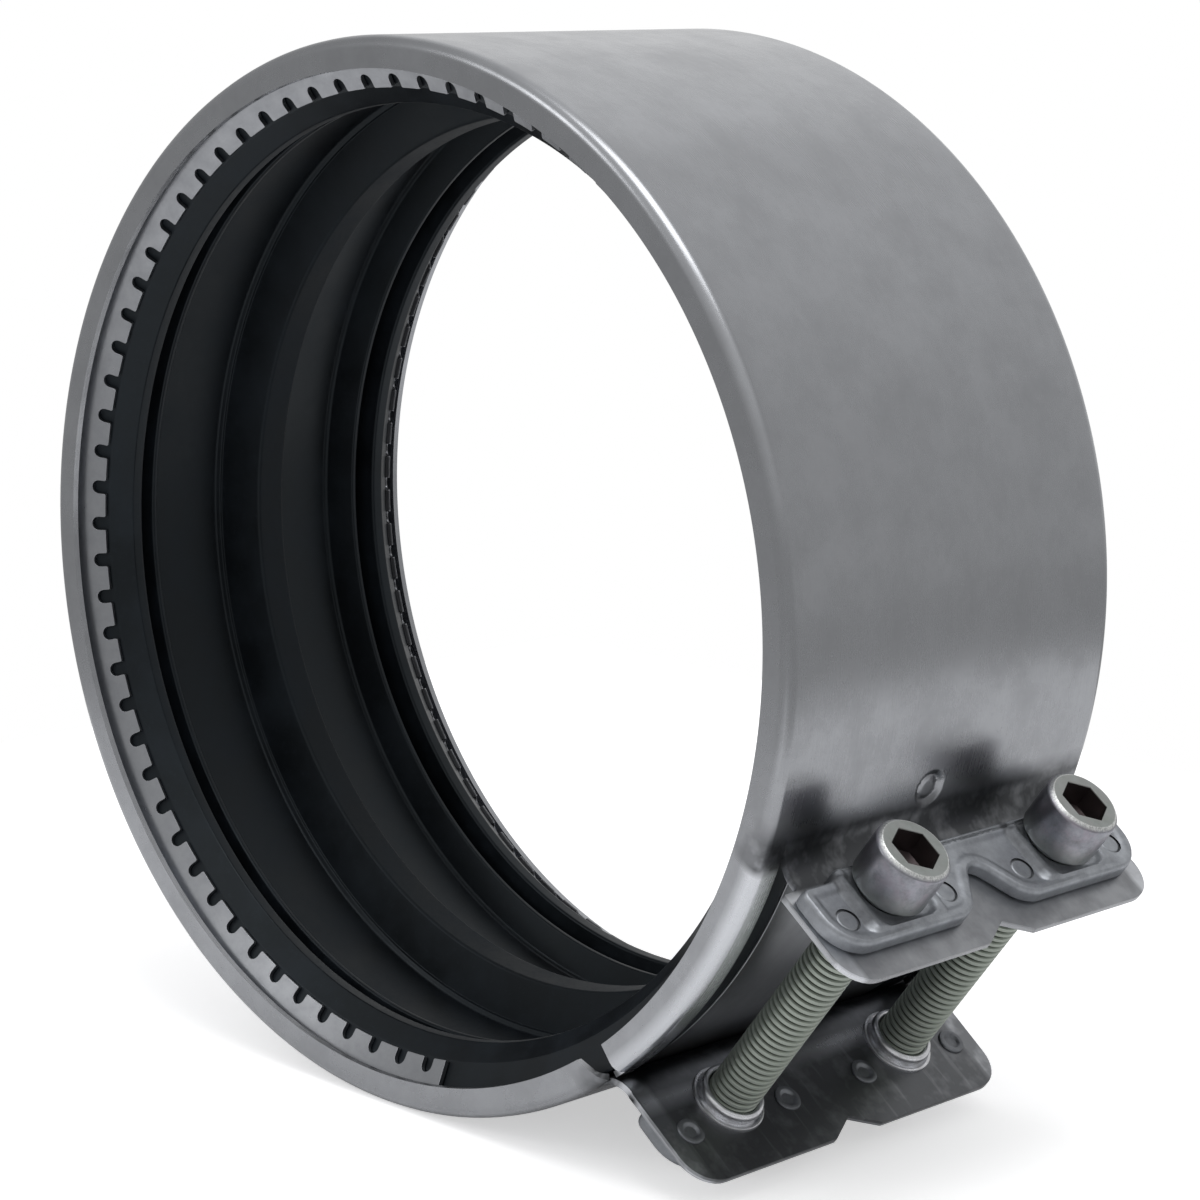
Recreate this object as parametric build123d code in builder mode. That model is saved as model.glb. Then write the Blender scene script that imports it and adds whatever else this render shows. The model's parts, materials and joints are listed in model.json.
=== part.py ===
from build123d import *
import os
from math import acos, asin, atan2, cos, degrees, hypot, radians, sin, sqrt, tan

# Pipe grip coupling: a stainless casing drawn together by two screws over a rubber gasket, with a
# toothed ring at each end that bites into the pipe. Millimetres. The pipe runs along Y and the front
# face looks toward -Y. The origin is on the pipe's axis, half way along the casing, and +Z is up.

# Pipe and gasket
pipe_radius = 109.55
lip_clearance = 0.95
stop_height = 3.05
radial_room = 14.95
fit_gap = 0.3

# Casing
casing_width = 111.0
sheet = 1.5
rim_room = 8.95
corner_bend = 1.5
lug_gap = 68.0
lug_bend = 8.0
lug_reach = 27.5
lug_inset = 2.5
lug_corner = 8.5
lug_notch = 5.5
tongue_width = 7.5
slit_width = 1.0
slit_slant = 35.0
slit_lead = 2.1
relief_gap = 0.3
relief_reach = 2.0
relief_corner = 1.9

# Brackets
bracket_sheet = 3.5
bracket_inset = 3.0
bracket_inner_reach = 1.4
bracket_end_step = 2.6
bracket_end_length = 10.5
bracket_outer_reach = 21.3
bracket_corner = 9.5
bracket_notch_half = 12.6
bracket_notch_depth = 12.0
bracket_notch_round = 5.0
bracket_edge_round = 0.8
rib_height = 1.5
rib_width = 4.6
rib_setback = 0.9
rib_end_bar = 1.5
rib_corner = 2.0
rib_edge_round = 0.6
pocket_width = 15.6
clinch_spacing = 32.2
clinch_reach = 14.0
clinch_stem = 2.6
clinch_head = 3.4
clinch_head_height = 1.0
clinch_mark = 3.0
clinch_mark_depth = 0.8
clinch_clearance = 0.15

# Screws, washers and nuts
screw_inset = 26.0
screw_reach = 9.5
screw_radius = 6.0
screw_length = 90.0
screw_tip_chamfer = 1.2
head_radius = 9.0
head_height = 12.0
head_chamfer = 1.0
socket_across_flats = 10.0
socket_depth = 6.0
hole_clearance = 0.75
washer_radius = 7.2
washer_clearance = 0.06
nut_radius = 9.75
nut_height = 8.5
nut_chamfer = 0.8
nut_running_gap = 0.05
collar_wall = 1.25
collar_stand = 3.4
bead_width = 1.2
bead_height = 1.2
collar_edge_round = 0.6
collar_clearance = 0.2

# Toothed rings
tooth_clearance = 4.45
ring_sheet = 1.2
ring_cone = 28.9
ring_edge_gap = 1.7
ring_setback = 0.4
ring_gap_angle = 91.0
ring_end_corner = 2.0
ring_seat = 0.25
slot_pitch = 4.7
slot_width = 3.5
slot_depth = 3.2

# Gasket section, front half
lip_depth = 13.0
lip_land = 3.0
groove_radius_room = 6.3
groove_start = 17.8
groove_width = 1.5
second_lip_step = 1.7
second_lip_depth = 20.6
second_lip_land = 1.4
second_lip_root = 25.5
floor_room = 4.9
floor_rise = 1.0
shoulder_room = 7.2
shoulder_width = 1.2
stop_flank = 3.9
stop_width = 8.0
stop_round = 1.0

# Strip insert and its clinch point
insert_sheet = 1.0
insert_width = 80.0
insert_angle = 27.0
insert_corner = 6.0
dimple_angle = 21.0
dimple_radius = 4.2
dimple_depth = 0.9
button_radius = 3.6

# Sizes that follow from these
half_width = casing_width / 2
wall_radius = pipe_radius + radial_room
casing_radius = wall_radius + sheet
rim_radius = pipe_radius + rim_room
lip_radius = pipe_radius + lip_clearance
stop_radius = pipe_radius - stop_height
outer_bend = corner_bend + sheet
lug_inner = lug_gap / 2
lug_outer = lug_inner + sheet
lug_half_width = half_width - lug_inset
window_half_width = half_width - tongue_width
lug_end = casing_radius + lug_reach
bend_height = lug_outer + lug_bend
bend_place = sqrt((casing_radius + lug_bend) ** 2 - bend_height**2)
root_angle = degrees(asin(bend_height / (casing_radius + lug_bend)))
slit_angle = root_angle - degrees(slit_lead / casing_radius)
plate_top = lug_outer + bracket_sheet
seat_height = plate_top + rib_height
screw_place = casing_radius + screw_reach
nut_end = seat_height + nut_height
collar_end = lug_inner - collar_stand
collar_radius = screw_radius + nut_running_gap + collar_wall
insert_outer = wall_radius - fit_gap
insert_inner = insert_outer - insert_sheet
gasket_radius = wall_radius - fit_gap
button_height = wall_radius - insert_inner

# The coupling lies on its round side and on the nuts' rims, so the gap points this way.
nut_rim_place = screw_place + nut_radius - nut_chamfer
gap_angle = (
    degrees(atan2(nut_end, nut_rim_place))
    + degrees(acos(casing_radius / hypot(nut_end, nut_rim_place)))
    - 90
)
gap_out = Vector(cos(radians(gap_angle)), 0, sin(radians(gap_angle)))
gap_up = Vector(-gap_out.Z, 0, gap_out.X)

end_view = Plane(origin=(0, 0, 0), x_dir=gap_out, z_dir=(0, -1, 0))
gap_middle = Plane(origin=(0, 0, 0), x_dir=gap_out, z_dir=gap_up)
screw_places = {"front": screw_inset - half_width, "rear": half_width - screw_inset}


def across_gap(height=0.0, reach=0.0, along=0.0):
    """A plane square to the screws: x runs out from the pipe, y along it, z toward the heads."""
    origin = gap_out * reach + gap_up * height + Vector(0, along, 0)
    return Plane(origin=origin, x_dir=gap_out, z_dir=gap_up)


def radial_plane(angle):
    """A plane through the pipe's axis, turned from the gap: x runs outward, y along the pipe."""
    turn = radians(gap_angle + angle)
    return Plane(origin=(0, 0, 0), x_dir=(cos(turn), 0, sin(turn)), z_dir=(-sin(turn), 0, cos(turn)))


def tangent_plane(angle, radius):
    """A plane that touches a cylinder round the pipe: x runs along the pipe, z outward."""
    turn = radians(gap_angle + angle)
    out = Vector(cos(turn), 0, sin(turn))
    return Plane(origin=out * radius, x_dir=(0, 1, 0), z_dir=out)


def save(builder, name):
    """Label a finished piece and write it to its own file."""
    builder.part.label = name
    export_step(builder.part, f"parts/{name}.step")


def clinch_points():
    """Where a bracket is clinched to its lug: two points beside each screw."""
    return [
        (casing_radius + clinch_reach, place + side * clinch_spacing / 2)
        for place in screw_places.values()
        for side in (-1, 1)
    ]


def screw_points():
    """Where the two screws pass through the lugs and brackets."""
    return [(screw_place, place) for place in screw_places.values()]


def lug_strips():
    """Both ends of the casing's strip, bent out square to the screws."""
    with BuildPart() as lugs:
        with BuildSketch(end_view):
            with BuildLine():
                bend_centre = (bend_place, bend_height)
                bend_turn = 90 - root_angle
                outer_arc = CenterArc(bend_centre, lug_bend, 180 + root_angle, bend_turn)
                inner_arc = CenterArc(bend_centre, lug_bend + sheet, 180 + root_angle, bend_turn)
                Line(outer_arc @ 0, inner_arc @ 0)
                Polyline(outer_arc @ 1, (lug_end, lug_outer), (lug_end, lug_inner), inner_arc @ 1)
            make_face()
            mirror(about=Plane.XZ)
        extrude(amount=lug_half_width, both=True)
        upright = lugs.edges().filter_by(Axis((0, 0, 0), gap_up))
        fillet(upright.filter_by(lambda edge: edge.center().dot(gap_out) > lug_end - sheet), lug_corner)
        # The upper lug is narrower at its root, where the rims pass by it.
        with BuildSketch(gap_middle):
            for side in (-1, 1):
                with Locations((casing_radius + relief_reach, side * (window_half_width - relief_gap))):
                    RectangleRounded(
                        4 * lug_bend,
                        2 * tongue_width,
                        relief_corner,
                        align=(Align.MAX, Align.MIN if side > 0 else Align.MAX),
                    )
        extrude(amount=bend_height, mode=Mode.SUBTRACT)
    return lugs.part


def cut_window(first_angle, last_angle, half_length):
    """Cut the casing's wall away between two angles about the pipe, over a length along it."""
    with BuildSketch(radial_plane(first_angle)) as window:
        with Locations((wall_radius, 0)):
            Rectangle(4 * sheet, 2 * half_length)
    revolve(window.sketch, Axis.Y, first_angle - last_angle, mode=Mode.SUBTRACT)


os.makedirs("parts", exist_ok=True)

# Casing: one strip, rolled into a hoop with its rims turned in and both ends bent out into lugs.
with BuildPart() as casing:
    with BuildSketch(radial_plane(0)):
        with BuildLine():
            FilletPolyline(
                (rim_radius, -half_width),
                (casing_radius, -half_width),
                (casing_radius, half_width),
                (rim_radius, half_width),
                (rim_radius, half_width - sheet),
                (wall_radius, half_width - sheet),
                (wall_radius, -half_width + sheet),
                (rim_radius, -half_width + sheet),
                radius=[0, outer_bend, outer_bend, 0, 0, corner_bend, corner_bend, 0],
                close=True,
            )
        make_face()
    revolve(axis=Axis.Y)
    # The gap between the lugs. The upper end's rims run on across it as tongues, and the lower end's
    # rims reach a little past the bend to meet them at a slanting slit.
    cut_window(root_angle, -root_angle, window_half_width)
    cut_window(-slit_angle, -root_angle, lug_half_width + relief_gap)
    with BuildSketch(end_view):
        with PolarLocations((rim_radius + casing_radius) / 2, 1, start_angle=-slit_angle):
            Rectangle(2 * (casing_radius - rim_radius), slit_width, rotation=slit_slant)
    extrude(amount=casing_width, both=True, mode=Mode.SUBTRACT)
    add(lug_strips())
    # A vee notch in the middle of each lug, and its holes
    with BuildSketch(gap_middle):
        with BuildLine():
            Polyline(
                (lug_end + sheet, lug_notch + sheet),
                (lug_end - lug_notch, 0),
                (lug_end + sheet, -lug_notch - sheet),
                close=True,
            )
        make_face()
        with Locations(*clinch_points()):
            Circle(clinch_stem + clinch_clearance)
    extrude(amount=bend_height, both=True, mode=Mode.SUBTRACT)
    with BuildSketch(gap_middle):
        with Locations(*screw_points()):
            Circle(screw_radius + hole_clearance)
    extrude(amount=bend_height, mode=Mode.SUBTRACT)
    with BuildSketch(gap_middle):
        with Locations(*screw_points()):
            Circle(collar_radius + collar_clearance)
    extrude(amount=-bend_height, mode=Mode.SUBTRACT)
    # Clinch point that holds the strip insert: a dimple outside, a button inside.
    with BuildSketch(tangent_plane(dimple_angle, casing_radius)):
        Circle(dimple_radius)
    extrude(amount=-dimple_depth, mode=Mode.SUBTRACT)
    with BuildSketch(tangent_plane(dimple_angle, insert_inner)):
        Circle(button_radius)
    extrude(amount=button_height + sheet - dimple_depth)
save(casing, "casing")


def bracket_plate():
    """One stamped bracket on the upper lug's outer face, as it is before its screw holes."""
    inner = casing_radius + bracket_inner_reach
    outer = casing_radius + bracket_outer_reach
    half_length = half_width - bracket_inset
    with BuildPart() as plate:
        with BuildSketch(across_gap(lug_outer)):
            with BuildLine():
                FilletPolyline(
                    (inner, 0),
                    (inner, half_length - bracket_end_length - bracket_end_step),
                    (inner + bracket_end_step, half_length - bracket_end_length),
                    (inner + bracket_end_step, half_length),
                    (outer, half_length),
                    (outer, bracket_notch_half),
                    (outer - bracket_notch_depth, 0),
                    radius=[bracket_end_step, bracket_end_step, bracket_end_step]
                    + [bracket_corner, bracket_notch_round],
                )
                Line((inner, 0), (outer - bracket_notch_depth, 0))
            make_face()
            mirror(about=Plane.XZ)
        extrude(amount=bracket_sheet)
        fillet(plate.faces().sort_by(Axis((0, 0, 0), gap_up))[-1].edges(), bracket_edge_round)
        # Raised ribs round a pocket at each screw
        rib_length = bracket_outer_reach - bracket_inner_reach - 2 * rib_setback
        with BuildSketch(across_gap(plate_top)):
            with Locations(*[(inner + rib_setback, place) for place in screw_places.values()]):
                RectangleRounded(
                    rib_length,
                    pocket_width + 2 * rib_width,
                    rib_corner,
                    align=(Align.MIN, Align.CENTER),
                )
            with Locations(*[(outer - rib_setback - rib_end_bar, y) for y in screw_places.values()]):
                Rectangle(
                    2 * rib_length,
                    pocket_width,
                    align=(Align.MAX, Align.CENTER),
                    mode=Mode.SUBTRACT,
                )
        extrude(amount=rib_height)
        rib_tops = plate.faces().group_by(Axis((0, 0, 0), gap_up))[-1]
        fillet(rib_tops.edges(), rib_edge_round)
        # Clinch points: drawn through the lug, with a punch mark outside
        with BuildSketch(across_gap(lug_outer)):
            with Locations(*clinch_points()):
                Circle(clinch_stem)
        extrude(amount=-sheet)
        with BuildSketch(across_gap(lug_inner)):
            with Locations(*clinch_points()):
                Circle(clinch_head)
        extrude(amount=-clinch_head_height)
        with BuildSketch(across_gap(plate_top)):
            with Locations(*clinch_points()):
                Circle(clinch_mark)
        extrude(amount=-clinch_mark_depth, mode=Mode.SUBTRACT)
    return plate.part


# Upper bracket, under the screw heads
with BuildPart() as upper_bracket:
    add(bracket_plate())
    with BuildSketch(across_gap(seat_height)):
        with Locations(*screw_points()):
            Circle(screw_radius + hole_clearance)
    extrude(amount=-rib_height - bracket_sheet, mode=Mode.SUBTRACT)
save(upper_bracket, "upper_bracket")

# Lower bracket: the same stamping turned over, with wider holes for the nuts' collars
with BuildPart() as lower_bracket:
    add(bracket_plate().mirror(gap_middle))
    with BuildSketch(across_gap(-seat_height)):
        with Locations(*screw_points()):
            Circle(collar_radius + collar_clearance)
    extrude(amount=rib_height + bracket_sheet, mode=Mode.SUBTRACT)
save(lower_bracket, "lower_bracket")

# Screws, washers and nuts, one set at each end of the lugs
for end, place in screw_places.items():
    with BuildPart() as screw:
        with BuildSketch(across_gap(seat_height, screw_place, place)):
            Circle(head_radius)
        extrude(amount=head_height)
        chamfer(screw.edges().sort_by(Axis((0, 0, 0), gap_up))[-1], head_chamfer)
        with BuildSketch(across_gap(seat_height + head_height, screw_place, place)):
            RegularPolygon(socket_across_flats / 2, 6, major_radius=False)
        extrude(amount=-socket_depth, mode=Mode.SUBTRACT)
        with BuildSketch(across_gap(seat_height, screw_place, place)):
            Circle(screw_radius)
        extrude(amount=-screw_length)
        chamfer(screw.edges().sort_by(Axis((0, 0, 0), gap_up))[0], screw_tip_chamfer)
    save(screw, f"screw_{end}")

    with BuildPart() as washer:
        with BuildSketch(across_gap(plate_top, screw_place, place)):
            Circle(washer_radius)
            Circle(screw_radius + washer_clearance, mode=Mode.SUBTRACT)
        extrude(amount=rib_height)
    save(washer, f"washer_{end}")

    with BuildPart() as nut:
        with BuildSketch(across_gap(-nut_end, screw_place, place)):
            Circle(nut_radius)
        extrude(amount=nut_height)
        chamfer(nut.edges().sort_by(Axis((0, 0, 0), gap_up)), nut_chamfer)
        with BuildSketch(across_gap(-seat_height, screw_place, place)):
            Circle(collar_radius)
        extrude(amount=seat_height - collar_end)
        fillet(nut.edges().sort_by(Axis((0, 0, 0), gap_up))[-1], collar_edge_round)
        # The collar's rolled bead, which grips the lug's inner face
        with BuildSketch(across_gap(-lug_inner, screw_place, place)):
            Circle(collar_radius + bead_width)
        extrude(amount=bead_height)
        with BuildSketch(across_gap(-nut_end, screw_place, place)):
            Circle(screw_radius + nut_running_gap)
        extrude(amount=nut_end - collar_end, mode=Mode.SUBTRACT)
    save(nut, f"nut_{end}")

# Toothed ring: a split cone of spring steel with slots between its teeth
ring_outer = wall_radius - ring_edge_gap
ring_tip = pipe_radius + tooth_clearance
ring_start = -half_width + sheet + ring_setback
cone_slope = tan(radians(ring_cone))
tip_start = ring_start + (ring_outer - ring_tip) * cone_slope
ring_arc = 360 - ring_gap_angle
slot_count = int(ring_arc / slot_pitch)
slot_length = slot_depth + slot_width
slot_middle = ring_tip + slot_depth - slot_length / 2
with BuildPart() as anchor_ring_front:
    with BuildSketch(radial_plane(-ring_gap_angle / 2)):
        with BuildLine():
            cone_line = Line((ring_outer, ring_start), (ring_tip, tip_start))
            ring_back = Vector(sin(radians(ring_cone)), cos(radians(ring_cone))) * ring_sheet
            Polyline(cone_line @ 1, (cone_line @ 1) + ring_back, (cone_line @ 0) + ring_back, cone_line @ 0)
        make_face()
    revolve(axis=Axis.Y, revolution_arc=ring_arc)
    with BuildSketch(end_view):
        with PolarLocations(
            slot_middle,
            slot_count,
            start_angle=180 - (slot_count - 1) * slot_pitch / 2,
            angular_range=slot_count * slot_pitch,
        ):
            SlotOverall(slot_length, slot_width)
    extrude(amount=casing_width, mode=Mode.SUBTRACT)
    through_sheet = anchor_ring_front.edges().filter_by(GeomType.LINE)
    fillet(through_sheet.filter_by(lambda edge: abs(edge.length - ring_sheet) < fit_gap / 10), ring_end_corner)
save(anchor_ring_front, "anchor_ring_front")

with BuildPart() as anchor_ring_rear:
    add(anchor_ring_front.part.mirror(Plane.XZ))
save(anchor_ring_rear, "anchor_ring_rear")

# Gasket: one turned section, two lips at each end and a stop rib between the pipes
seat_shift = (ring_sheet + ring_seat) / cos(radians(ring_cone))
nose_radius = ring_tip + fit_gap
groove_floor = lip_radius + groove_radius_room + second_lip_step
second_lip_radius = lip_radius + second_lip_step
floor_radius = wall_radius - floor_room
shoulder_radius = wall_radius - shoulder_room
stop_start = half_width - stop_width / 2
with BuildPart() as gasket:
    with BuildSketch(radial_plane(0)):
        with BuildLine():
            FilletPolyline(
                (gasket_radius, 0),
                (gasket_radius, ring_start + seat_shift + (ring_outer - gasket_radius) * cone_slope),
                (nose_radius, ring_start + seat_shift + (ring_outer - nose_radius) * cone_slope),
                (lip_radius, lip_depth - half_width),
                (lip_radius, lip_depth + lip_land - half_width),
                (groove_floor, groove_start - half_width),
                (groove_floor, groove_start + groove_width - half_width),
                (second_lip_radius, second_lip_depth - half_width),
                (second_lip_radius, second_lip_depth + second_lip_land - half_width),
                (floor_radius, second_lip_root - half_width),
                (floor_radius - floor_rise, -stop_width / 2 - stop_flank - shoulder_width),
                (shoulder_radius, -stop_width / 2 - stop_flank - shoulder_width / 2),
                (shoulder_radius, -stop_width / 2 - stop_flank),
                (stop_radius, -stop_width / 2),
                (stop_radius, 0),
                radius=[0, 0, 0, 0, 0, 0, 0, 0, 0, 0, 0, 0, stop_round],
            )
            Line((gasket_radius, 0), (stop_radius, 0))
        make_face()
        mirror(about=Plane.XZ)
    revolve(axis=Axis.Y)
    # Flat for the strip insert, which lies between the gasket and the casing
    recess_angle = insert_angle + degrees(fit_gap / insert_outer)
    with BuildSketch(radial_plane(recess_angle)):
        with Locations((insert_inner - fit_gap, 0)):
            Rectangle(radial_room, insert_width + 2 * fit_gap, align=(Align.MIN, Align.CENTER))
    revolve(axis=Axis.Y, revolution_arc=2 * recess_angle, mode=Mode.SUBTRACT)
save(gasket, "gasket")

# Strip insert: a curved plate that closes the gap between the casing's ends
with BuildPart() as strip_insert:
    with BuildSketch(radial_plane(insert_angle)):
        with Locations((insert_inner, 0)):
            Rectangle(insert_sheet, insert_width, align=(Align.MIN, Align.CENTER))
    revolve(axis=Axis.Y, revolution_arc=2 * insert_angle)
    through_plate = strip_insert.edges().filter_by(GeomType.LINE)
    fillet(through_plate.filter_by(lambda edge: edge.length < 2 * insert_sheet), insert_corner)
    with BuildSketch(tangent_plane(dimple_angle, casing_radius)):
        Circle(button_radius + clinch_clearance)
    extrude(amount=-radial_room, mode=Mode.SUBTRACT)
save(strip_insert, "strip_insert")

print(f"gap angle {gap_angle:.3f}, casing radius {casing_radius:.2f}, slots {slot_count}")
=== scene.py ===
# %% [markdown]
# # A pipe grip coupling in Blender
#
# A pipe grip coupling holds two plain pipe ends together. A wide stainless casing is drawn tight by
# two screws over a rubber gasket, and a ring of spring steel teeth at each end bites into the pipe.
# The solids are made already, so this lesson models what the eye sees on top of them: rolled edges,
# pressed ribs, threads, moulded lips and the finish of each metal. The fixed frame is loaded first.

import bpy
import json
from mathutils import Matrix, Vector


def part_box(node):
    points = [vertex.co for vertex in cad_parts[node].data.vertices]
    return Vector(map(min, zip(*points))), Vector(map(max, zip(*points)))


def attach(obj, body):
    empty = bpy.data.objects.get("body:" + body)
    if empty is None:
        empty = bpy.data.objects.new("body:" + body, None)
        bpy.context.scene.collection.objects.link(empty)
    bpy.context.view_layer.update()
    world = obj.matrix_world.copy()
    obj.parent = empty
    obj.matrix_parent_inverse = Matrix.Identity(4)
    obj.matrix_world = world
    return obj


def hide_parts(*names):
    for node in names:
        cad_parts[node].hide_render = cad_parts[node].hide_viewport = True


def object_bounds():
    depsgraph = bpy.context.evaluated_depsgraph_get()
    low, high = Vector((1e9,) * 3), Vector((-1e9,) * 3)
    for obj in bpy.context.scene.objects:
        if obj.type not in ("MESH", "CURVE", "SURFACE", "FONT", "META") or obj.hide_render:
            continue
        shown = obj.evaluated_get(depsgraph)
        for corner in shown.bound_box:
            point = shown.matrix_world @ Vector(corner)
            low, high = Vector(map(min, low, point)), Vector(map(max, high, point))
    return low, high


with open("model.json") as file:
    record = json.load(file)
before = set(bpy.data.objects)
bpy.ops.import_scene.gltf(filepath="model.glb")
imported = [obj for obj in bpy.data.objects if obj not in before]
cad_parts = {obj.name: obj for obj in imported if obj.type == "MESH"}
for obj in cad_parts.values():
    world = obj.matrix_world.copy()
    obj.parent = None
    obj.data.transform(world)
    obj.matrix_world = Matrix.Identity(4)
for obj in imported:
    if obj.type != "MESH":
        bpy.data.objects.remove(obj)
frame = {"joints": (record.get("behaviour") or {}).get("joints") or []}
cad_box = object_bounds()
print("CAD box", [tuple(round(c, 4) for c in corner) for corner in cad_box])

# %% [markdown]
# ## Sizes
#
# Blender works in metres and the drawing in millimetres, so every length is written in millimetres
# and multiplied by mm where a mesh is made. The coupling rests on its round side and on its nuts,
# with the gap between its lugs turned down to the right. All pieces are modelled in a frame of
# their own, in which x runs out through the middle of that gap, y along the pipe and z toward the
# screw heads, and one turn about the pipe puts them in place.

# %% Sizes and the gap's own frame
import json
from math import asin, atan2, cos, degrees, pi, radians, sin, sqrt, tan

import bmesh
import bpy
from mathutils import Matrix, Vector
from mathutils.kdtree import KDTree

mm = 0.001
full_turn = 2 * pi
gap_up = Vector(frame["joints"][0]["axis"])
gap_turn = atan2(gap_up.x, gap_up.z)
gap_frame = Matrix.Rotation(gap_turn, 4, "Y")

casing_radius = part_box("casing")[1].z / mm
box_margin = 0.01
half_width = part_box("casing")[1].y / mm - box_margin
sheet = 1.5
rim_radius = 118.5
corner_radius = 3.0
lug_outer = 35.5
lug_inner = lug_outer - sheet
lug_bend = 8.0
screw_place = 135.5
screw_radius = 6.0
thread_root = 5.25
head_radius = 9.0
screw_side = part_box("screw_rear")[1].y / mm - head_radius
screw_places = (("front", -screw_side), ("rear", screw_side))
seat_height = 40.5
head_top = seat_height + 12.0
plate_top = 39.0
print(f"gap turned {degrees(gap_turn):.2f} degrees, casing radius {casing_radius:.1f} mm")

# %% [markdown]
# ## Helpers
#
# Most outlines here are straight runs with rounded corners, so one helper draws a wire and rounds
# its corners with the bevel operator in its vertex mode. Another spins a wire about the pipe, and
# another turns a profile on a lathe about a screw. The last one makes a finished mesh into a piece
# that rides on its body. Its Bevel and Weighted Normal modifiers give the cut edges of sheet a
# small bright round, which is most of what makes it look like metal.


# %% Helpers: picking
def only(kind, items):
    """The Vert, Edge or Face elements among items."""
    return [item for item in items if isinstance(item, getattr(bmesh.types, "BM" + kind))]


def added(bm, before):
    """The verts that were made after those in before, and their edges and faces."""
    verts = [vert for vert in bm.verts if vert not in before]
    edges = {edge for vert in verts for edge in vert.link_edges}
    return verts, list(edges), list({face for vert in verts for face in vert.link_faces})


def verts_of(items):
    """The verts of edges or faces."""
    return {vert for item in items for vert in item.verts}


def with_rims(faces):
    """Faces with their edges and verts."""
    return list(set(faces) | {edge for face in faces for edge in face.edges} | verts_of(faces))


# %% Helpers: drawing and turning
def draw(bm, corners, close=False):
    """Draw a wire through corners of (x, y, z, radius) in millimetres, rounded where radius isn't 0."""
    verts = [bm.verts.new(Vector(corner[:3]) * mm) for corner in corners]
    edges = [bm.edges.new(pair) for pair in zip(verts, verts[1:])]
    if close:
        edges.append(bm.edges.new((verts[-1], verts[0])))
    for vert, (*_, radius) in zip(verts, corners):
        if radius:
            one, two = [edge.other_vert(vert).co - vert.co for edge in vert.link_edges]
            reach = radius * mm / tan(one.angle(two) / 2)
            steps = max(2, round(3 * sqrt(radius)))
            bmesh.ops.bevel(bm, geom=[vert], offset=reach, offset_type="OFFSET", segments=steps,
                            profile=0.5, affect="VERTICES", material=-1)


def sweep(bm, edges, angle, steps, centre=(0, 0, 0)):
    """Spin edges by degrees toward the heads, about a line along the pipe; return the last row."""
    geom = list(set(edges) | verts_of(edges))
    made = bmesh.ops.spin(bm, geom=geom, cent=Vector(centre) * mm, axis=(0, -1, 0),
                          angle=radians(angle), steps=steps)
    return only("Edge", made["geom_last"])


def lathe(bm, corners, steps=64, close=True):
    """Turn a profile of (radius, height, round) in millimetres about the z axis."""
    before = set(bm.verts)
    draw(bm, [(radius, 0, height, rounding) for radius, height, rounding in corners], close)
    verts, edges, _ = added(bm, before)
    bmesh.ops.spin(bm, geom=verts + edges, cent=(0, 0, 0), axis=(0, 0, 1), angle=full_turn,
                   steps=steps, use_merge=True)
    bmesh.ops.remove_doubles(bm, verts=added(bm, before)[0], dist=0.001 * mm)
    return added(bm, before)[0]


def move(bm, verts, x=0, y=0, z=0):
    """Shift verts by millimetres."""
    bmesh.ops.translate(bm, verts=verts, vec=Vector((x, y, z)) * mm)


# %% Helpers: a finished piece
sharp_angle = radians(38)
bevel_angle = radians(40)


def show(name, data):
    """A new object in the scene."""
    shown = bpy.data.objects.new(name, data)
    bpy.context.scene.collection.objects.link(shown)
    return shown


def add_piece(name, bm, finish, slot, nodes, body="root", edge_round=0.0, wall=0.0):
    """Put a finished bmesh in its place as a piece that stands for CAD nodes."""
    bmesh.ops.transform(bm, matrix=gap_frame, verts=bm.verts)
    for face in bm.faces:
        face.smooth = True
    for edge in bm.edges:
        soft = not edge.is_manifold or edge.calc_face_angle() < sharp_angle
        edge.smooth = bool(edge_round) or soft
    mesh = bpy.data.meshes.new(name)
    bm.to_mesh(mesh)
    bm.free()
    mesh.materials.append(finish)
    piece = show(name, mesh)
    if wall:
        solidify = piece.modifiers.new("wall", "SOLIDIFY")
        solidify.thickness, solidify.offset, solidify.use_even_offset = wall * mm, -1, True
    if edge_round:
        bevel = piece.modifiers.new("edges", "BEVEL")
        bevel.width, bevel.segments, bevel.profile = edge_round * mm, 2, 0.5
        bevel.limit_method, bevel.angle_limit = "ANGLE", bevel_angle
    normals = piece.modifiers.new("normals", "WEIGHTED_NORMAL")
    normals.mode, normals.weight, normals.keep_sharp = "FACE_AREA_WITH_ANGLE", 50, True
    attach(piece, body)
    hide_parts(*nodes)
    print(f"{name}: {len(mesh.polygons)} faces")


# %% [markdown]
# ## The camera
#
# The camera stands where the photographer's did. Its place was worked out from the coupling's two
# end circles in the photograph, and it's given as a bearing, a height angle, a distance and a small
# sideways and downward move. The object came to rest a degree further round than it lies in the
# photograph, so the camera is turned about the pipe by that degree too.

# %% Camera
camera_bearing = radians(44.74)
camera_height = radians(10.44)
camera_distance = 833.1
camera_right = 11.35
camera_up = -10.49
camera_roll = radians(1.044)
camera_lens = 102.85

back = Vector((sin(camera_bearing) * cos(camera_height), -cos(camera_bearing) * cos(camera_height),
               sin(camera_height)))
right = Vector((cos(camera_bearing), sin(camera_bearing), 0))
above = back.cross(right)
place = (back * camera_distance + right * camera_right + above * camera_up) * mm
camera = show("camera", bpy.data.cameras.new("camera"))
camera.data.lens = camera_lens
camera.data.clip_start, camera.data.clip_end = 0.01, 20
looking = Matrix((right, above, back)).transposed().to_4x4()
camera.matrix_world = Matrix.Rotation(-camera_roll, 4, "Y") @ Matrix.Translation(place) @ looking
bpy.context.scene.camera = camera
print("camera at", tuple(round(c, 3) for c in camera.matrix_world.translation))

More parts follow.
